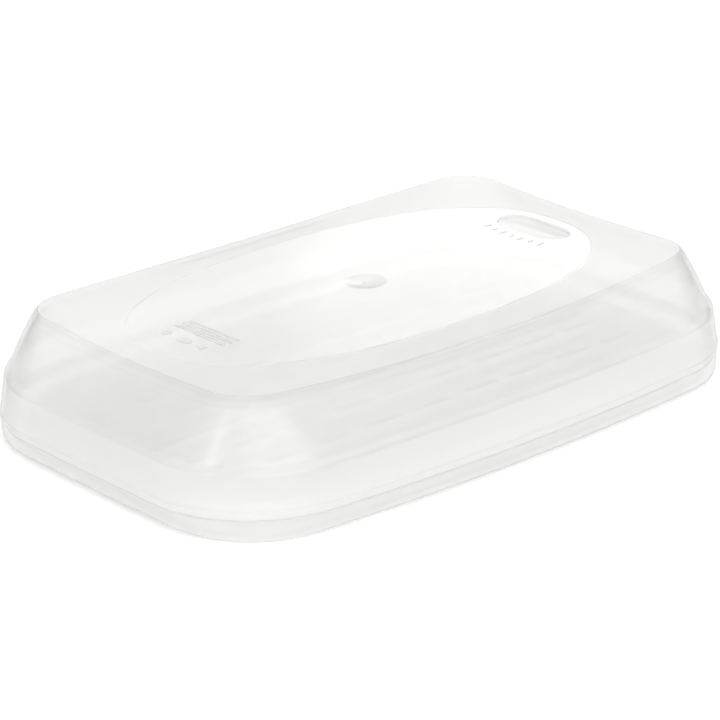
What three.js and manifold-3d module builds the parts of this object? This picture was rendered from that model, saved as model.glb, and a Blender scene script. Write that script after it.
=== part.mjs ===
// Steam steriliser box for baby-bottle parts: a shallow base tray that holds the water, a perforated
// rack that stands in it, and a deep domed cover with a steam vent that drops over the tray's upstand.
// Millimetres. +Z up, +X along the long side towards the vent. Origin: centre of the footprint, on the
// surface the tray stands on.
import * as THREE from "three";
import { mergeVertices } from "three/addons/utils/BufferGeometryUtils.js";
import Module from "manifold-3d";

const wasm = await Module();
wasm.setup();

// ---------------------------------------------------------------- driving dimensions
const WALL = 1.8; // moulded wall thickness
// Outlines: half length, half width, corner radius, bow of the long side, bow of the short end.
const COVER_RIM = { a: 150, b: 98.6, r: 53, sl: 4.3, ss: 0.3 }; // lower edge of the cover
const COVER_TOP = { a: 127.6, b: 77.8, r: 19.7, sl: 5.5, ss: 0.6 }; // crease round the top panel
const FOOT = { a: 143.2, b: 94.2, r: 38, sl: 4.3, ss: 0.3 }; // where the tray meets the table
const COVER_EDGE_Z = 9.8; // lower edge of the cover
const SKIRT_TOP_Z = 27; // top of the steep skirt
const SKIRT_IN = 2.25; // how far the skirt leans in up to there
const SHOULDER_Z = 31.5; // upper end of the soft shoulder
const SHOULDER_IN = 5.1; // how far in it ends
const CORNER_Z = 55.9; // top crease at the four corners, the highest points
const SAG_LONG = 4.4; // how much lower the crease is halfway along a long side
const SAG_SHORT = 3.1; // the same for a short end
const OVAL = { a: 113.8, b: 61.2, n: 2.38, z: 52.6 }; // polished flat oval in the top panel
const GATE_R = 8.8; // moulding-gate recess in the middle of the oval
const GATE_DEPTH = 0.8;
const VENT = { x: 98.9, hx: 8.2, hy: 19.1 }; // steam vent, a slot across the box
const RIM_GAP = 0.4; // vertical gap between the cover's edge and the tray's shoulder
const NEST_GAP = 0.8; // side gap between the cover's skirt and the tray's upstand
const UPSTAND_Z = 16; // top of the tray's upstand
const UPSTAND_IN = 0.85; // how far the upstand leans in
const FLOOR_Z = 1.8; // tray floor, top face
const RACK_Z = 8.2; // underside of the rack plate
const RACK_T = 1.8;
const RACK_EDGE = { a: 136.5, b: 86.5, r: 42, sl: 4.0, ss: 0.3 };
const RACK_FOOT_R = 4; // hollow-ground feet, tapered
const RIB_H = 4; // ribs that keep the bottle parts off the plate

// ---------------------------------------------------------------- outlines
// Rounded rectangle with bowed sides, anticlockwise from +X, always the same number of points.
function outline({ a, b, r, sl, ss }, nx = 9, nc = 7, ny = 5) {
  const A = a - r,
    B = b - r;
  let x = A,
    y = B;
  for (let i = 0; i < 30; i++) {
    y = B - sl * (x / A) ** 2;
    x = A - ss * (y / B) ** 2;
  }
  const q = [];
  const off = (px, py, vx, vy) => {
    const m = Math.hypot(vx, vy);
    q.push([px + (r * vx) / m, py + (r * vy) / m]);
  };
  for (let i = 0; i < ny; i++) {
    const v = (y * i) / (ny - 1);
    off(A - ss * (v / B) ** 2, v, 1, (2 * ss * v) / B ** 2);
  }
  const t0 = Math.atan2((2 * ss * y) / B ** 2, 1),
    t1 = Math.atan2(1, (2 * sl * x) / A ** 2);
  for (let i = 1; i < nc; i++) {
    const t = t0 + ((t1 - t0) * i) / nc;
    q.push([x + r * Math.cos(t), y + r * Math.sin(t)]);
  }
  for (let i = 0; i < nx; i++) {
    const u = x * (1 - i / (nx - 1));
    off(u, B - sl * (u / A) ** 2, (2 * sl * u) / A ** 2, 1);
  }
  const half = q.concat(
    q
      .slice(0, -1)
      .reverse()
      .map(([px, py]) => [-px, py]),
  );
  return half.concat(
    half
      .slice(1, -1)
      .reverse()
      .map(([px, py]) => [px, -py]),
  );
}
const mix = (p, q, t) =>
  Object.fromEntries(["a", "b", "r", "sl", "ss"].map((k) => [k, p[k] + (q[k] - p[k]) * t]));
const inset = (p, d) => ({ ...p, a: p.a - d, b: p.b - d, r: Math.max(2, p.r - d) });

// Closed body from a stack of rings: capped by a fan at the first and at the last ring.
function loft(rings) {
  const n = rings[0].length;
  const pos = [];
  const idx = [];
  for (const ring of rings) for (const p of ring) pos.push(...p);
  for (let k = 0; k + 1 < rings.length; k++)
    for (let i = 0; i < n; i++) {
      const j = (i + 1) % n,
        p = k * n,
        q = p + n;
      idx.push(p + i, p + j, q + j, p + i, q + j, q + i);
    }
  for (const [ring, base, flip] of [
    [rings[0], 0, true],
    [rings[rings.length - 1], (rings.length - 1) * n, false],
  ]) {
    const z = ring.reduce((s, p) => s + p[2], 0) / n;
    const c = pos.length / 3;
    pos.push(0, 0, z);
    for (let i = 0; i < n; i++) {
      const j = (i + 1) % n;
      flip ? idx.push(c, base + j, base + i) : idx.push(c, base + i, base + j);
    }
  }
  const g = new THREE.BufferGeometry();
  g.setAttribute("position", new THREE.Float32BufferAttribute(pos, 3));
  g.setIndex(idx);
  return g;
}

// ---------------------------------------------------------------- booleans
function solid(geometry) {
  const g = geometry.clone();
  g.deleteAttribute("normal");
  g.deleteAttribute("uv");
  const m = mergeVertices(g, 1e-4);
  return new wasm.Manifold(
    new wasm.Mesh({
      numProp: 3,
      vertProperties: new Float32Array(m.attributes.position.array),
      triVerts: new Uint32Array(m.index.array),
    }),
  );
}
function toGeometry(manifold) {
  const m = manifold.getMesh();
  const g = new THREE.BufferGeometry();
  g.setAttribute("position", new THREE.BufferAttribute(new Float32Array(m.vertProperties), 3));
  g.setIndex(new THREE.BufferAttribute(new Uint32Array(m.triVerts), 1));
  const flat = g.toNonIndexed();
  flat.computeVertexNormals();
  return flat;
}
function extrude(points, z0, z1) {
  const g = new THREE.ExtrudeGeometry(new THREE.Shape(points.map(([x, y]) => new THREE.Vector2(x, y))), {
    depth: z1 - z0,
    bevelEnabled: false,
  });
  g.translate(0, 0, z0);
  return solid(g);
}
// Slot with round ends; the long way is Y when hy > hx, else X.
function stadium(cx, cy, hx, hy, seg = 8) {
  const r = Math.min(hx, hy),
    d = Math.abs(hy - hx),
    alongY = hy >= hx,
    pts = [];
  for (const s of [1, -1])
    for (let i = 0; i <= seg; i++) {
      const t = (Math.PI * i) / seg;
      const u = r * Math.cos(t) * s,
        v = s * (d + r * Math.sin(t));
      pts.push(alongY ? [cx + u, cy + v] : [cx + v, cy - u]);
    }
  return pts;
}

// ---------------------------------------------------------------- cover
// Height of the top crease over an outline point: highest at the corners, sagging along each side.
function creaseZ(x, y, a, b) {
  const u = Math.min(1, Math.abs(x) / a) ** 2,
    v = Math.min(1, Math.abs(y) / b) ** 2;
  return CORNER_Z - SAG_LONG * (1 - u) * v - SAG_SHORT * (1 - v) * u;
}
// Wall profile above the shoulder: height fraction against inward fraction, nearly straight up to a
// small rounding under the crease.
const PROFILE = [
  [0, 0],
  [0.25, 0.205],
  [0.5, 0.424],
  [0.7, 0.62],
  [0.84, 0.765],
  [0.92, 0.862],
  [0.97, 0.935],
  [1, 1],
];
// The shoulder between the skirt and the wall, the same way.
const SHOULDER = [
  [0.3, 0.2],
  [0.7, 0.72],
];
const shoulderLine = inset(COVER_RIM, SHOULDER_IN);
function coverWall(t, f, d) {
  // f: inward fraction, t: height fraction, d: offset into the wall
  const o = outline(inset(mix(shoulderLine, COVER_TOP, f), d));
  return o.map(([x, y]) => {
    const top = creaseZ(x, y, COVER_TOP.a, COVER_TOP.b);
    return [x, y, SHOULDER_Z + (top - SHOULDER_Z) * t - d * t];
  });
}
function onOval(x, y, k) {
  // point of the oval, scaled by k, on the ray through x, y
  const m = (Math.abs(x / OVAL.a) ** OVAL.n + Math.abs(y / OVAL.b) ** OVAL.n) ** (1 / OVAL.n);
  return [(k * x) / m, (k * y) / m];
}
function topPanel(d) {
  const edge = coverWall(1, 1, d);
  const mid = edge.map(([x, y, z]) => {
    const [ox, oy] = onOval(x, y, 1);
    return [(x + ox) / 2, (y + oy) / 2, (z + OVAL.z - d) / 2 + (z - OVAL.z + d) * 0.08];
  });
  const oval = edge.map(([x, y]) => [...onOval(x, y, 1), OVAL.z - d]);
  return [mid, oval];
}
const at = (o, z) => o.map(([x, y]) => [x, y, z]);
const outer = [
  at(outline(COVER_RIM), COVER_EDGE_Z),
  at(outline(inset(COVER_RIM, SKIRT_IN)), SKIRT_TOP_Z),
  ...SHOULDER.map(([t, f]) =>
    at(
      outline(inset(COVER_RIM, SKIRT_IN + (SHOULDER_IN - SKIRT_IN) * f)),
      SKIRT_TOP_Z + (SHOULDER_Z - SKIRT_TOP_Z) * t,
    ),
  ),
  ...PROFILE.map(([t, f]) => coverWall(t, f, 0)),
  ...topPanel(0),
];
const inner = [
  at(outline(inset(COVER_RIM, WALL)), COVER_EDGE_Z),
  at(outline(inset(COVER_RIM, WALL + SKIRT_IN)), SKIRT_TOP_Z),
  ...PROFILE.filter((_, i) => [0, 2, 3, 4, 6, 7].includes(i)).map(([t, f]) => coverWall(t, f, WALL)),
  ...topPanel(WALL),
];
let coverSolid = solid(loft([...inner.slice().reverse(), ...outer]));
{
  const R = (GATE_R ** 2 + GATE_DEPTH ** 2) / (2 * GATE_DEPTH);
  const cap = [new THREE.Vector2(0, -GATE_DEPTH)];
  for (let i = 1; i <= 6; i++) {
    const x = ((GATE_R * 1.12) * i) / 6;
    cap.push(new THREE.Vector2(x, R - GATE_DEPTH - Math.sqrt(R * R - x * x)));
  }
  cap.push(new THREE.Vector2(GATE_R * 1.12, 2), new THREE.Vector2(0, 2));
  const recess = new THREE.LatheGeometry(cap, 32);
  recess.rotateX(Math.PI / 2);
  recess.translate(0, 0, OVAL.z);
  coverSolid = coverSolid.subtract(solid(recess));
  coverSolid = coverSolid.subtract(
    extrude(stadium(VENT.x, 0, VENT.hx, VENT.hy, 10), OVAL.z - 3 * WALL, OVAL.z + 3 * WALL),
  );
}

// ---------------------------------------------------------------- base tray
const RIM_TOP = COVER_EDGE_Z - RIM_GAP;
const RIM = inset(COVER_RIM, 0.5);
const STAND = inset(COVER_RIM, WALL + NEST_GAP); // outer face of the upstand
const baseRings = [
  at(outline(FOOT), 0),
  at(outline(mix(FOOT, RIM, 0.45)), 1.1),
  at(outline(mix(FOOT, RIM, 0.78)), 3),
  at(outline(mix(FOOT, RIM, 0.95)), 5.6),
  at(outline(RIM), RIM_TOP),
  at(outline(STAND), RIM_TOP),
  at(outline(inset(STAND, UPSTAND_IN)), UPSTAND_Z),
  at(outline(inset(STAND, UPSTAND_IN + WALL)), UPSTAND_Z),
  at(outline(inset(STAND, WALL)), 8.5),
  at(outline(inset(mix(FOOT, RIM, 0.75), WALL + 1)), 4.4),
  at(outline(inset(FOOT, WALL + 1.6)), FLOOR_Z),
];
const baseSolid = solid(loft(baseRings));

// ---------------------------------------------------------------- rack
let rackSolid = solid(loft([at(outline(RACK_EDGE), RACK_Z), at(outline(RACK_EDGE), RACK_Z + RACK_T)]));
{
  const slots = [];
  for (let i = -4; i <= 4; i++)
    for (let j = -3; j <= 3; j++) {
      const x = i * 27,
        y = j * 21;
      if (Math.abs(x) > 100 && Math.abs(y) > 50) continue;
      slots.push(extrude(stadium(x, y, 10, 1.7, 2), RACK_Z - 1, RACK_Z + RACK_T + 1));
    }
  for (const s of slots) rackSolid = rackSolid.subtract(s);
  // ribs between the rows of slots
  for (const j of [-2.5, -1.5, -0.5, 0.5, 1.5, 2.5]) {
    const half = Math.abs(j) > 2 ? 92 : 118;
    rackSolid = rackSolid.add(extrude(stadium(0, j * 21, half, 0.9, 2), RACK_Z + 0.6, RACK_Z + RACK_T + RIB_H));
  }
  // six tapered feet down to the tray floor
  for (const x of [-108, 0, 108])
    for (const y of [-52.5, 52.5]) {
      const h = RACK_Z + 0.6 - (FLOOR_Z + 0.3);
      const foot = new THREE.CylinderGeometry(RACK_FOOT_R, RACK_FOOT_R - 0.8, h, 16);
      foot.rotateX(Math.PI / 2);
      foot.translate(x, y, FLOOR_Z + 0.3 + h / 2);
      rackSolid = rackSolid.add(solid(foot));
    }
}

// ---------------------------------------------------------------- assembly
const group = new THREE.Group();
function place(name, manifold, colour, roughness, opacity) {
  const mesh = new THREE.Mesh(
    toGeometry(manifold),
    new THREE.MeshStandardMaterial({ color: colour, roughness, metalness: 0, transparent: true, opacity }),
  );
  mesh.name = name;
  group.add(mesh);
}
place("base_tray", baseSolid, 0xf1f2f1, 0.4, 0.7);
place("steam_rack", rackSolid, 0xf3f4f3, 0.45, 0.7);
place("cover", coverSolid, 0xf2f3f2, 0.35, 0.6);

export default group;
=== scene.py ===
import math

import bmesh
import bpy
import numpy as np
from mathutils import Matrix, Vector


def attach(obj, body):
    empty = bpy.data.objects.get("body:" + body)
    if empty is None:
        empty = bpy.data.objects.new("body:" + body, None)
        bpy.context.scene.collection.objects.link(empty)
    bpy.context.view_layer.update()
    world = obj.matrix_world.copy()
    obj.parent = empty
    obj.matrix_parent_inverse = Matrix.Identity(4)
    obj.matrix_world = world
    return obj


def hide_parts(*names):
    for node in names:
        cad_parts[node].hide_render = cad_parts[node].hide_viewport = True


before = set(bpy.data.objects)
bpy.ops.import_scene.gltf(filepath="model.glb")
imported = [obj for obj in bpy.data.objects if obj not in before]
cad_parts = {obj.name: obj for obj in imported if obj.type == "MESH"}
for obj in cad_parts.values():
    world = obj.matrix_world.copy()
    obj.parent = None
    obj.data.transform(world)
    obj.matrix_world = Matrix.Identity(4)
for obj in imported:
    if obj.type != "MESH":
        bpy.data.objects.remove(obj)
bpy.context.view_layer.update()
MM = 0.001

# ---------------------------------------------------------------- dimensions (mm, the CAD frame)
WALL = 1.8
COVER_RIM = dict(a=150.0, b=98.6, r=53.0, sl=4.3, ss=0.3)
COVER_TOP = dict(a=127.6, b=77.8, r=19.7, sl=5.5, ss=0.6)
FOOT = dict(a=143.2, b=94.2, r=38.0, sl=4.3, ss=0.3)
COVER_EDGE_Z, SKIRT_TOP_Z, SKIRT_IN, SHOULDER_Z, SHOULDER_IN = 9.8, 27.0, 2.25, 31.5, 5.1
CORNER_Z, SAG_LONG, SAG_SHORT = 55.9, 4.4, 3.1
OVAL = dict(a=113.8, b=61.2, n=2.38, z=52.6)
GATE_R, GATE_DEPTH = 8.8, 0.8
VENT = dict(x=98.9, hx=8.2, hy=19.1)
RIM_GAP, NEST_GAP, UPSTAND_Z, UPSTAND_IN, FLOOR_Z = 0.4, 0.8, 16.0, 0.85, 1.8
RACK_Z, RACK_T, RIB_H = 8.2, 1.8, 4.0
RACK_EDGE = dict(a=136.5, b=86.5, r=42.0, sl=4.0, ss=0.3)

NX, NC, NY = 41, 26, 21  # points on half a long side, on a corner, on half a short end


def outline(o, nx=NX, nc=NC, ny=NY):
    """Rounded rectangle with bowed sides, anticlockwise from +X, as an (n, 2) array."""
    a, b, r, sl, ss = o["a"], o["b"], o["r"], o["sl"], o["ss"]
    A, B = a - r, b - r
    x, y = A, B
    for _ in range(30):
        y = B - sl * (x / A) ** 2
        x = A - ss * (y / B) ** 2
    q = []

    def off(px, py, vx, vy):
        m = math.hypot(vx, vy)
        q.append((px + r * vx / m, py + r * vy / m))

    for i in range(ny):
        v = y * i / (ny - 1)
        off(A - ss * (v / B) ** 2, v, 1, 2 * ss * v / B**2)
    t0 = math.atan2(2 * ss * y / B**2, 1)
    t1 = math.atan2(1, 2 * sl * x / A**2)
    for i in range(1, nc):
        t = t0 + (t1 - t0) * i / nc
        q.append((x + r * math.cos(t), y + r * math.sin(t)))
    for i in range(nx):
        u = x * (1 - i / (nx - 1))
        off(u, B - sl * (u / A) ** 2, 2 * sl * u / A**2, 1)
    half = q + [(-px, py) for px, py in reversed(q[:-1])]
    return np.array(half + [(px, -py) for px, py in reversed(half[1:-1])])


def mix(p, q, t):
    return {k: p[k] + (q[k] - p[k]) * t for k in ("a", "b", "r", "sl", "ss")}


def inset(p, d):
    return dict(p, a=p["a"] - d, b=p["b"] - d, r=max(2.0, p["r"] - d))


def at(xy, z):
    xy = np.asarray(xy)
    return np.column_stack([xy, np.full(len(xy), float(z))])


def crease_z(xy):
    u = np.minimum(1, np.abs(xy[:, 0]) / COVER_TOP["a"]) ** 2
    v = np.minimum(1, np.abs(xy[:, 1]) / COVER_TOP["b"]) ** 2
    return CORNER_Z - SAG_LONG * (1 - u) * v - SAG_SHORT * (1 - v) * u


PROFILE_T = np.array([0, 0.25, 0.5, 0.7, 0.84, 0.92, 0.965, 0.99, 1.0])
PROFILE_F = np.array([0, 0.205, 0.424, 0.62, 0.765, 0.862, 0.925, 0.97, 1.0])
SHOULDER = inset(COVER_RIM, SHOULDER_IN)
SHOULDER_CURVE = ((0.12, 0.04), (0.2, 0.105), (0.3, 0.2), (0.4, 0.33), (0.5, 0.46), (0.6, 0.6), (0.7, 0.72), (0.85, 0.88))


def profile(n):
    """The wall's section above the shoulder as n smooth (height, inward) fractions."""
    s = np.concatenate([[0], np.cumsum(np.hypot(np.diff(PROFILE_T), np.diff(PROFILE_F)))])
    s /= s[-1]
    fine = np.linspace(0, 1, 401)
    t, f = np.interp(fine, s, PROFILE_T), np.interp(fine, s, PROFILE_F)
    k = np.exp(-0.5 * (np.linspace(-3, 3, 49)) ** 2)
    k /= k.sum()
    pad = lambda v: np.concatenate([2 * v[0] - v[24:0:-1], v, 2 * v[-1] - v[-2:-26:-1]])
    t, f = np.convolve(pad(t), k, "valid"), np.convolve(pad(f), k, "valid")
    u = np.linspace(0, 1, n) ** 0.85
    return np.interp(u, fine, t), np.interp(u, fine, f)


def cover_wall(t, f, d):
    xy = outline(inset(mix(SHOULDER, COVER_TOP, f), d))
    return np.column_stack([xy, SHOULDER_Z + (crease_z(xy) - SHOULDER_Z) * t - d * t])


def on_oval(xy, k):
    m = (np.abs(xy[:, 0] / OVAL["a"]) ** OVAL["n"] + np.abs(xy[:, 1] / OVAL["b"]) ** OVAL["n"]) ** (1 / OVAL["n"])
    return xy / m[:, None] * np.reshape(k, (-1, 1))


# ---------------------------------------------------------------- mesh helpers
class Builder:
    """Collects rings of points and faces between them; material index per face."""

    def __init__(self):
        self.co, self.faces, self.mats = [], [], []

    def ring(self, pts):
        base = len(self.co)
        self.co.extend(map(tuple, np.asarray(pts, float)))
        return list(range(base, len(self.co)))

    def band(self, p, q, mat=0):
        n = len(p)
        for i in range(n):
            j = (i + 1) % n
            self.faces.append((p[i], p[j], q[j], q[i]))
            self.mats.append(mat)

    def face(self, loop, mat=0):
        self.faces.append(tuple(loop))
        self.mats.append(mat)

    def mesh(self, name, materials, smooth_deg=32.0, fills=()):
        """fills: (loops, up, mat) - flat areas between the loops, which may be holes in one another."""
        me = bpy.data.meshes.new(name)
        bm = bmesh.new()
        vs = [bm.verts.new((x * MM, y * MM, z * MM)) for x, y, z in self.co]
        bm.verts.ensure_lookup_table()
        for f, m in zip(self.faces, self.mats):
            face = bm.faces.new([vs[i] for i in f])
            face.material_index = m
        flat = []
        for loops, up, m in fills:
            edges = []
            for loop in loops:
                for i in range(len(loop)):
                    p, q = vs[loop[i]], vs[loop[(i + 1) % len(loop)]]
                    e = bm.edges.get((p, q)) or bm.edges.new((p, q))
                    edges.append(e)
            made = bmesh.ops.triangle_fill(bm, use_beauty=True, edges=edges, normal=(0, 0, 1 if up else -1))
            for g in made["geom"]:
                if isinstance(g, bmesh.types.BMFace):
                    flat.append(g)
                    g.material_index = m
                    if (g.normal.z > 0) != up:
                        g.normal_flip()
        bmesh.ops.recalc_face_normals(bm, faces=bm.faces[:])
        if bm.calc_volume(signed=True) < 0:
            bmesh.ops.reverse_faces(bm, faces=bm.faces[:])
        limit = math.radians(smooth_deg)
        for e in bm.edges:
            if len(e.link_faces) == 2:
                e.smooth = e.calc_face_angle(0.0) < limit
        for f in bm.faces:
            f.smooth = True
        for f in flat:
            f.smooth = False
        bm.to_mesh(me)
        bm.free()
        for m in materials:
            me.materials.append(m)
        ob = bpy.data.objects.new(name, me)
        bpy.context.scene.collection.objects.link(ob)
        return ob


def stadium(cx, cy, hx, hy, seg=20):
    """Slot outline with round ends, anticlockwise."""
    r, d, pts = min(hx, hy), abs(hy - hx), []
    for s in (1, -1):
        for i in range(seg + 1):
            t = math.pi * i / seg
            u, v = r * math.cos(t) * s, s * (d + r * math.sin(t))
            pts.append((cx + u, cy + v) if hy >= hx else (cx + v, cy - u))
    pts = np.array(pts)
    return pts


def circle(cx, cy, r, n=64):
    t = np.arange(n) * 2 * math.pi / n
    return np.column_stack([cx + r * np.cos(t), cy + r * np.sin(t)])


def grow(pts, d):
    """Offsets a closed anticlockwise outline outwards by d."""
    p = np.asarray(pts, float)
    e = np.roll(p, -1, 0) - np.roll(p, 1, 0)
    n = np.column_stack([e[:, 1], -e[:, 0]])
    n /= np.maximum(np.linalg.norm(n, axis=1), 1e-9)[:, None]
    return p + n * d


# ---------------------------------------------------------------- materials
def plastic(name, colour, rough, rough_var, clear, edge, through, bump, grain, spec=0.1, dense_at=0.38):
    """Natural polypropylene. clear: how much is seen straight through one skin, face on. edge: the same at a
    grazing angle. through: the share of the scattered light that comes from the far side."""
    m = bpy.data.materials.new(name)
    m.use_nodes = True
    nt = m.node_tree
    p = next(n for n in nt.nodes if n.type == "BSDF_PRINCIPLED")
    out = next(n for n in nt.nodes if n.type == "OUTPUT_MATERIAL")
    p.inputs["IOR"].default_value = 1.49
    p.inputs["Specular IOR Level"].default_value = spec
    tc = nt.nodes.new("ShaderNodeTexCoord")

    def noise(scale, detail, rough_=0.5):
        n = nt.nodes.new("ShaderNodeTexNoise")
        n.inputs["Scale"].default_value = scale
        n.inputs["Detail"].default_value = detail
        n.inputs["Roughness"].default_value = rough_
        nt.links.new(tc.outputs["Object"], n.inputs["Vector"])
        return n

    def remap(src, lo, hi, a, b):
        n = nt.nodes.new("ShaderNodeMapRange")
        n.inputs["From Min"].default_value = lo
        n.inputs["From Max"].default_value = hi
        n.inputs["To Min"].default_value = a
        n.inputs["To Max"].default_value = b
        nt.links.new(src, n.inputs["Value"])
        return n.outputs["Result"]

    cloud = noise(14.0, 3.0)
    ramp = nt.nodes.new("ShaderNodeValToRGB")
    ramp.color_ramp.elements[0].position = 0.3
    ramp.color_ramp.elements[1].position = 0.7
    ramp.color_ramp.elements[0].color = (*[c * 0.985 for c in colour], 1)
    ramp.color_ramp.elements[1].color = (*colour, 1)
    nt.links.new(cloud.outputs["Fac"], ramp.inputs["Fac"])
    nt.links.new(ramp.outputs["Color"], p.inputs["Base Color"])
    nt.links.new(remap(noise(900.0, 2.0).outputs["Fac"], 0.3, 0.7, rough - rough_var, rough + rough_var), p.inputs["Roughness"])
    b = nt.nodes.new("ShaderNodeBump")
    b.inputs["Strength"].default_value = bump
    b.inputs["Distance"].default_value = 0.0001
    nt.links.new(noise(grain, 3.0, 0.6).outputs["Fac"], b.inputs["Height"])
    nt.links.new(b.outputs["Normal"], p.inputs["Normal"])
    tr = nt.nodes.new("ShaderNodeBsdfTranslucent")
    nt.links.new(ramp.outputs["Color"], tr.inputs["Color"])
    mix1 = nt.nodes.new("ShaderNodeMixShader")
    mix1.inputs["Fac"].default_value = through
    nt.links.new(p.outputs["BSDF"], mix1.inputs[1])
    nt.links.new(tr.outputs["BSDF"], mix1.inputs[2])
    see = nt.nodes.new("ShaderNodeBsdfTransparent")
    lw = nt.nodes.new("ShaderNodeLayerWeight")
    lw.inputs["Blend"].default_value = 0.22
    # the longer the way through the wall, the more it absorbs
    dense = nt.nodes.new("ShaderNodeValToRGB")
    els = dense.color_ramp.elements
    els[0].position, els[1].position = dense_at, 0.78
    els[0].color, els[1].color = (0.987, 0.987, 0.985, 1), (0.38, 0.38, 0.379, 1)
    nt.links.new(lw.outputs["Facing"], dense.inputs["Fac"])
    nt.links.new(dense.outputs["Color"], see.inputs["Color"])
    mix2 = nt.nodes.new("ShaderNodeMixShader")
    nt.links.new(remap(lw.outputs["Facing"], 0.0, 1.0, 1 - clear, 1 - edge), mix2.inputs["Fac"])
    nt.links.new(see.outputs["BSDF"], mix2.inputs[1])
    nt.links.new(mix1.outputs["Shader"], mix2.inputs[2])
    # surface gloss over both, by Fresnel
    gl = nt.nodes.new("ShaderNodeBsdfGlossy")
    gl.inputs["Color"].default_value = (1, 1, 1, 1)
    gl.inputs["Roughness"].default_value = rough
    nt.links.new(b.outputs["Normal"], gl.inputs["Normal"])
    fr = nt.nodes.new("ShaderNodeFresnel")
    fr.inputs["IOR"].default_value = 1.49
    # only where light enters: a skin met from inside the plastic passes it on
    geo = nt.nodes.new("ShaderNodeNewGeometry")
    mul = nt.nodes.new("ShaderNodeMath")
    mul.operation = "MULTIPLY"
    nt.links.new(fr.outputs["Fac"], mul.inputs[0])
    nt.links.new(remap(geo.outputs["Backfacing"], 0.0, 1.0, 1.0, 0.0), mul.inputs[1])
    mix3 = nt.nodes.new("ShaderNodeMixShader")
    cap = nt.nodes.new("ShaderNodeMath")
    cap.operation = "MINIMUM"
    cap.inputs[1].default_value = 0.3
    nt.links.new(mul.outputs[0], cap.inputs[0])
    nt.links.new(cap.outputs[0], mix3.inputs["Fac"])
    nt.links.new(mix2.outputs["Shader"], mix3.inputs[1])
    nt.links.new(gl.outputs["BSDF"], mix3.inputs[2])
    nt.links.new(mix3.outputs["Shader"], out.inputs["Surface"])
    return m


satin = plastic("pp_satin", (0.846, 0.845, 0.842), 0.42, 0.05, 0.56, 0.6, 0.5, 0.25, 2600.0)
polished = plastic("pp_polished", (0.935, 0.934, 0.931), 0.18, 0.03, 0.6, 0.6, 0.5, 0.02, 400.0)
wall = plastic("pp_wall", (0.975, 0.974, 0.971), 0.2, 0.05, 0.56, 0.6, 0.5, 0.06, 1600.0, dense_at=0.17)
# painted shade: the wall colour darkens in small steps towards the crease, standing in for the shade that falls on
# the crease fillet
CREASE_SHADE_STEPS = ((0.76, 0.955), (0.81, 0.93), (0.855, 0.90), (0.895, 0.87), (0.93, 0.835), (0.96, 0.80), (0.985, 0.77))
crease_shade_materials = [
    # painted shade: copies of the wall plastic, each darker than the last, for the bands nearest the crease
    plastic("pp_painted_crease_shade_%d" % i, (c, c - 0.001, c - 0.004), 0.22, 0.05, 0.55, 0.6, 0.5, 0.06, 1600.0, dense_at=0.17)
    for i, (t, c) in enumerate(CREASE_SHADE_STEPS)
]
inside = plastic("pp_inside", (0.96, 0.959, 0.956), 0.3, 0.05, 0.8, 0.6, 0.5, 0.06, 1200.0)
etched = plastic("pp_etched", (0.72, 0.72, 0.717), 0.45, 0.05, 0.3, 0.2, 0.5, 0.3, 3200.0)
tray_pp = plastic("pp_tray", (0.985, 0.984, 0.981), 0.22, 0.05, 0.62, 0.5, 0.5, 0.1, 1600.0)
rack_pp = plastic("pp_rack", (0.925, 0.924, 0.921), 0.36, 0.05, 0.5, 0.3, 0.5, 0.2, 2200.0)

# ---------------------------------------------------------------- cover
SAT, POL, INS, OUT, ETC, CREASE_SHADE = range(6)


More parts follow.
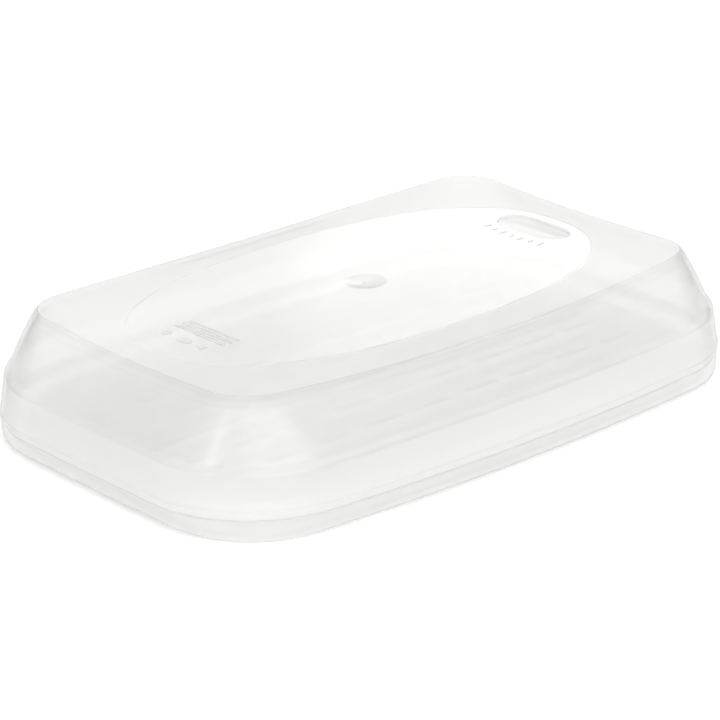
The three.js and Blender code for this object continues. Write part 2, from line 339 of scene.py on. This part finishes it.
def cover_piece():
    k = Builder()
    z0 = COVER_EDGE_Z
    rim = lambda d, z: k.ring(at(outline(inset(COVER_RIM, d)), z))
    # outer skin, upwards: rounded lower edge, upright skirt, shoulder, wall
    lean = lambda z: SKIRT_IN * (z - z0) / (SKIRT_TOP_Z - z0)
    step_in, step_z = SHOULDER_IN - SKIRT_IN, SHOULDER_Z - SKIRT_TOP_Z
    rings = [rim(0.7, z0), rim(0.25, z0 + 0.12), rim(0.0, z0 + 0.5), rim(0.04, z0 + 2.9), rim(0.12, z0 + 3.15), rim(0.4, z0 + 3.4)]
    for z in np.linspace(z0 + 3.9, SKIRT_TOP_Z, 8):
        rings.append(rim(lean(z), z))
    for t, f in SHOULDER_CURVE:
        rings.append(rim(SKIRT_IN + step_in * f, SKIRT_TOP_Z + step_z * t))
    T, F = profile(30)
    wall_start = len(rings)
    for t, f in zip(T, F):
        rings.append(k.ring(cover_wall(t, f, 0)))
    wall_end = len(rings)
    edge = k.co[rings[-1][0] : rings[-1][-1] + 1]
    edge = np.array(edge)
    oval_xy = on_oval(edge[:, :2], 1.0)
    # satin border from the crease to the oval, then a small polished step on to the flat oval
    for s in (0.06, 0.14, 0.24, 0.36, 0.5, 0.64, 0.78, 0.9, 0.985):
        z = OVAL["z"] - 0.22 + (edge[:, 2] - OVAL["z"] + 0.22) * (1 - s) ** 1.25
        rings.append(k.ring(np.column_stack([edge[:, :2] * (1 - s) + oval_xy * s, z])))
    border_end = len(rings)
    rings.append(k.ring(at(on_oval(edge[:, :2], 0.999), OVAL["z"] - 0.2)))
    rings.append(k.ring(at(on_oval(edge[:, :2], 0.996), OVAL["z"] - 0.03)))
    rings.append(k.ring(at(on_oval(edge[:, :2], 0.992), OVAL["z"])))
    for i in range(len(rings) - 1):
        t = T[i + 1 - wall_start] if wall_start <= i + 1 < wall_end else 0
        # painted shade: wall bands nearer the crease get the darker painted-shade materials
        steps = sum(t > lim for lim, c in CREASE_SHADE_STEPS)
        skin = CREASE_SHADE + steps - 1 if steps else OUT
        k.band(rings[i], rings[i + 1], POL if i >= border_end - 1 else SAT if i >= wall_end - 1 else skin)
    # inner skin
    inner = [k.ring(at(outline(inset(COVER_RIM, 1.2)), z0)), k.ring(at(outline(inset(COVER_RIM, WALL)), z0 + 0.4))]
    for z in np.linspace(z0 + 1.5, SKIRT_TOP_Z, 6):
        inner.append(k.ring(at(outline(inset(COVER_RIM, WALL + lean(z))), z)))
    for t, f in SHOULDER_CURVE[1::2]:
        inner.append(k.ring(at(outline(inset(COVER_RIM, WALL + SKIRT_IN + step_in * f)), SKIRT_TOP_Z + step_z * t)))
    T, F = profile(14)
    for t, f in zip(T, F):
        inner.append(k.ring(cover_wall(t, f, WALL)))
    edge_i = np.array(k.co[inner[-1][0] : inner[-1][-1] + 1])
    oval_i = on_oval(edge_i[:, :2], 1.0)
    zi = OVAL["z"] - WALL
    for s in (0.2, 0.45, 0.7, 0.9, 1.0):
        z = zi + (edge_i[:, 2] - zi) * (1 - s) ** 1.25
        inner.append(k.ring(np.column_stack([edge_i[:, :2] * (1 - s) + oval_i * s, z])))
    for i in range(len(inner) - 1):
        k.band(inner[i + 1], inner[i], INS)
    k.band(inner[0], rings[0])
    # steam vent: rounded lip, wall, rounded inner edge
    Z, zi = OVAL["z"], OVAL["z"] - WALL
    base = stadium(VENT["x"], 0, VENT["hx"], VENT["hy"])
    vent = [k.ring(at(grow(base, d), z)) for d, z in ((0.45, Z), (0.2, Z - 0.07), (0.04, Z - 0.25), (0.0, Z - 0.5), (0.0, zi + 0.35), (0.12, zi + 0.1), (0.35, zi))]
    for i in range(len(vent) - 1):
        k.band(vent[i + 1], vent[i], POL)
    # moulding-gate recess with its small nub, and a shallow lens under it
    R = (GATE_R**2 + GATE_DEPTH**2) / (2 * GATE_DEPTH)
    gate = []
    for r in (GATE_R + 0.3, GATE_R, GATE_R - 0.4, 7.6, 6.6, 5.5, 4.4, 3.3, 2.4, 1.7, 1.35, 1.2, 1.05, 0.8, 0.4):
        if r > GATE_R:
            z = Z
        elif r >= GATE_R - 0.01:
            z = Z - 0.06
        else:
            z = Z + R - GATE_DEPTH - math.sqrt(R * R - min(r, GATE_R) ** 2)
        if r < 1.3:
            z = Z - GATE_DEPTH + 0.45 * min(1.0, (1.35 - r) / 0.35)
        gate.append(k.ring(at(circle(0, 0, r, 48), z)))
    for i in range(len(gate) - 1):
        k.band(gate[i], gate[i + 1], POL)
    k.face(gate[-1], POL)
    under = [k.ring(at(circle(0, 0, r, 48), z)) for r, z in ((GATE_R + 1.5, zi), (GATE_R, zi - 0.12), (GATE_R - 2, zi - 0.45), (4.0, zi - 0.7), (1.5, zi - 0.78))]
    for i in range(len(under) - 1):
        k.band(under[i + 1], under[i], INS)
    k.face(under[-1][::-1], INS)
    # raised generic marks: plain bars, rings and ticks
    holes = []
    for pts, h in marks():
        foot = k.ring(at(grow(pts, 0.07), Z))
        top = k.ring(at(pts, Z + h))
        k.band(foot, top, ETC)
        holes.append((foot, top, pts))
    fills = [([rings[-1], vent[0], gate[0]] + [h[0] for h in holes], True, POL), ([inner[-1], vent[-1], under[0]], False, INS)]
    for foot, top, pts in holes:
        fills.append(([top], True, ETC))
    return k.mesh("cover_shell", [satin, polished, inside, wall, etched] + crease_shade_materials, fills=fills)


def rect(cx, cy, hx, hy, r=0.25, seg=3):
    """Small rounded rectangle, anticlockwise."""
    pts = []
    for sx, sy, a0 in ((1, 1, 0), (-1, 1, 90), (-1, -1, 180), (1, -1, 270)):
        for i in range(seg + 1):
            a = math.radians(a0 + 90 * i / seg)
            pts.append((cx + sx * (hx - r) + r * math.cos(a), cy + sy * (hy - r) + r * math.sin(a)))
    return np.array(pts)


def marks():
    out = []
    # block of plain bars near the left end of the oval
    for i in range(5):
        out.append((rect(-90.4 + i * 1.95, 0.0 - 0.8, 0.42, 15.4 - (i % 2) * 1.2), 0.22))
    # three small plain shapes beside it
    out.append((circle(-98.6, 10.5, 2.1, 20), 0.2))
    out.append((rect(-98.6, -0.9, 1.9, 3.2, 0.8, 4), 0.2))
    t = np.radians([90, 210, 330])
    out.append((np.column_stack([-98.6 + 2.4 * np.cos(t), -11.6 + 2.4 * np.sin(t)]), 0.2))
    # arc of short ticks beside the vent
    for i in range(7):
        u = (i - 3) / 3
        cx, cy = 84.0 + 1.6 * u * u - 1.0 * u * 0, -1.6 - 16.4 * u
        c, s = math.cos(0.16 * u), math.sin(0.16 * u)
        p = rect(0, 0, 1.9 - 0.5 * (i % 2), 0.5)
        out.append((np.column_stack([cx + p[:, 0] * c - p[:, 1] * s, cy + p[:, 0] * s + p[:, 1] * c]), 0.2))
    return out


cover = cover_piece()
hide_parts("cover")
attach(cover, "lid")


# ---------------------------------------------------------------- tray
def tray_piece():
    k = Builder()
    rim_top = COVER_EDGE_Z - RIM_GAP
    RIM = inset(COVER_RIM, 0.5)
    STAND = inset(COVER_RIM, WALL + NEST_GAP)
    rings = [k.ring(at(outline(inset(FOOT, 1.2)), 0.0)), k.ring(at(outline(inset(FOOT, 0.35)), 0.1))]
    for i in range(1, 13):
        a = i / 12 * math.pi / 2
        rings.append(k.ring(at(outline(mix(FOOT, RIM, math.sin(a) ** 1.0)), 0.35 + 6.4 * (1 - math.cos(a)))))
    rings.append(k.ring(at(outline(RIM), rim_top - 0.9)))
    rings.append(k.ring(at(outline(inset(RIM, 0.12)), rim_top - 0.35)))
    rings.append(k.ring(at(outline(inset(RIM, 0.5)), rim_top)))
    rings.append(k.ring(at(outline(inset(STAND, -0.25)), rim_top)))
    rings.append(k.ring(at(outline(STAND), rim_top + 0.3)))
    lean = lambda z: UPSTAND_IN * max(0.0, z - rim_top) / (UPSTAND_Z - rim_top)
    for z in (11.5, 13.5, UPSTAND_Z - 0.6):
        rings.append(k.ring(at(outline(inset(STAND, lean(z))), z)))
    for d, z in ((0.15, UPSTAND_Z - 0.2), (0.6, UPSTAND_Z), (WALL - 0.6, UPSTAND_Z), (WALL - 0.15, UPSTAND_Z - 0.2), (WALL, UPSTAND_Z - 0.6), (WALL, 13.0), (WALL, 10.5)):
        rings.append(k.ring(at(outline(inset(STAND, d + lean(z))), z)))
    IN_LOW = inset(FOOT, WALL + 1.6)
    IN_TOP = inset(STAND, WALL)
    for i in range(1, 11):
        a = i / 10 * math.pi / 2
        rings.append(k.ring(at(outline(mix(IN_TOP, IN_LOW, 1 - math.cos(a))), 9.6 - (9.6 - FLOOR_Z) * math.sin(a))))
    for i in range(len(rings) - 1):
        k.band(rings[i], rings[i + 1])
    fills = [([rings[0]], False, 0), ([rings[-1]], True, 0)]
    return k.mesh("tray_shell", [tray_pp], fills=fills)


tray = tray_piece()
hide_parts("base_tray")
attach(tray, "tray")

# ---------------------------------------------------------------- rack: the CAD solid with its own finish
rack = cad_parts["steam_rack"]
rack.data.materials.clear()
rack.data.materials.append(rack_pp)

# ---------------------------------------------------------------- floor
fm = bpy.data.materials.new("floor_pale")
fm.use_nodes = True
fp = next(n for n in fm.node_tree.nodes if n.type == "BSDF_PRINCIPLED")
fp.inputs["Base Color"].default_value = (0.98, 0.98, 0.98, 1)
fp.inputs["Roughness"].default_value = 0.9
fp.inputs["Specular IOR Level"].default_value = 0.1
me = bpy.data.meshes.new("floor")
s = 6.0
me.from_pydata([(-s, -s, 0), (s, -s, 0), (s, s, 0), (-s, s, 0)], [], [(0, 1, 2, 3)])
me.materials.append(fm)
floor = bpy.data.objects.new("floor", me)
floor.location = (0, 0, -0.0002)
bpy.context.scene.collection.objects.link(floor)

# ---------------------------------------------------------------- light
world = bpy.data.worlds.new("studio")
bpy.context.scene.world = world
world.use_nodes = True
bg = next(n for n in world.node_tree.nodes if n.type == "BACKGROUND")
bg.inputs["Strength"].default_value = 1.0
# soft overhead studio: bright above, dimmer towards the horizon
wn = world.node_tree.nodes
wtc, sep, wmr = wn.new("ShaderNodeTexCoord"), wn.new("ShaderNodeSeparateXYZ"), wn.new("ShaderNodeMapRange")
wmr.interpolation_type = "SMOOTHSTEP"
for key, v in (("From Min", -0.05), ("From Max", 0.75), ("To Min", 0.7), ("To Max", 1.3)):
    wmr.inputs[key].default_value = v
world.node_tree.links.new(wtc.outputs["Generated"], sep.inputs["Vector"])
world.node_tree.links.new(sep.outputs["Z"], wmr.inputs["Value"])
# dark flags at both ends of the set, across the view, to draw the edges of the clear plastic
dot, ab, flag, wmul = wn.new("ShaderNodeVectorMath"), wn.new("ShaderNodeMath"), wn.new("ShaderNodeMapRange"), wn.new("ShaderNodeMath")
dot.operation, ab.operation, wmul.operation = "DOT_PRODUCT", "ABSOLUTE", "MULTIPLY"
dot.inputs[1].default_value = (0.7475, -0.6643, 0.0)
flag.interpolation_type = "SMOOTHSTEP"
for key, v in (("From Min", 0.66), ("From Max", 0.94), ("To Min", 1.0), ("To Max", 0.1)):
    flag.inputs[key].default_value = v
world.node_tree.links.new(wtc.outputs["Generated"], dot.inputs[0])
world.node_tree.links.new(dot.outputs["Value"], ab.inputs[0])
world.node_tree.links.new(ab.outputs[0], flag.inputs["Value"])
world.node_tree.links.new(wmr.outputs["Result"], wmul.inputs[0])
world.node_tree.links.new(flag.outputs["Result"], wmul.inputs[1])
world.node_tree.links.new(wmul.outputs[0], bg.inputs["Color"])


def area(name, loc, target, size, power):
    d = bpy.data.lights.new(name, "AREA")
    d.shape = "RECTANGLE"
    d.size, d.size_y = size
    d.energy = power
    o = bpy.data.objects.new(name, d)
    o.location = loc
    o.rotation_euler = (Vector(target) - Vector(loc)).to_track_quat("-Z", "Y").to_euler()
    bpy.context.scene.collection.objects.link(o)
    return o


area("key", (-0.3, -0.5, 1.6), (0, 0, 0.03), (1.2, 1.2), 3.0)
area("back", (2.01, 1.935, 1.11), (0.05, -0.02, 0.05), (0.62, 0.36), 0.75)
area("front", (-0.65, -2.0, 0.95), (0, 0, 0.03), (2.6, 1.6), 13.3)
area("strip", (-1.96, -0.3, 0.8), (-0.1, -0.06, 0.03), (0.3, 1.0), 2.6)

# ---------------------------------------------------------------- camera
C = Vector((-878.65086, -993.63274, 551.19711)) * MM
d = Vector((0.61304917, 0.69608513, -0.37367928))
r = Vector((0.7474792, -0.66419483, -0.01095764))
u = Vector((0.25582329, 0.27259992, 0.92749325))
cam = bpy.data.cameras.new("camera")
cam.sensor_width = 36.0
cam.sensor_fit = "HORIZONTAL"
cam.lens = 3361.4435 / 720 * 36.0
cam.clip_start = 0.05
cam.clip_end = 50
co = bpy.data.objects.new("camera", cam)
m = Matrix.Identity(4)
for i in range(3):
    m[i][0], m[i][1], m[i][2], m[i][3] = r[i], u[i], -d[i], C[i]
co.matrix_world = m
bpy.context.scene.collection.objects.link(co)
bpy.context.scene.camera = co
bpy.context.scene.view_settings.view_transform = "Standard"
bpy.context.scene.view_settings.look = "None"
bpy.context.scene.cycles.transparent_max_bounces = 48
bpy.context.scene.cycles.max_bounces = 16
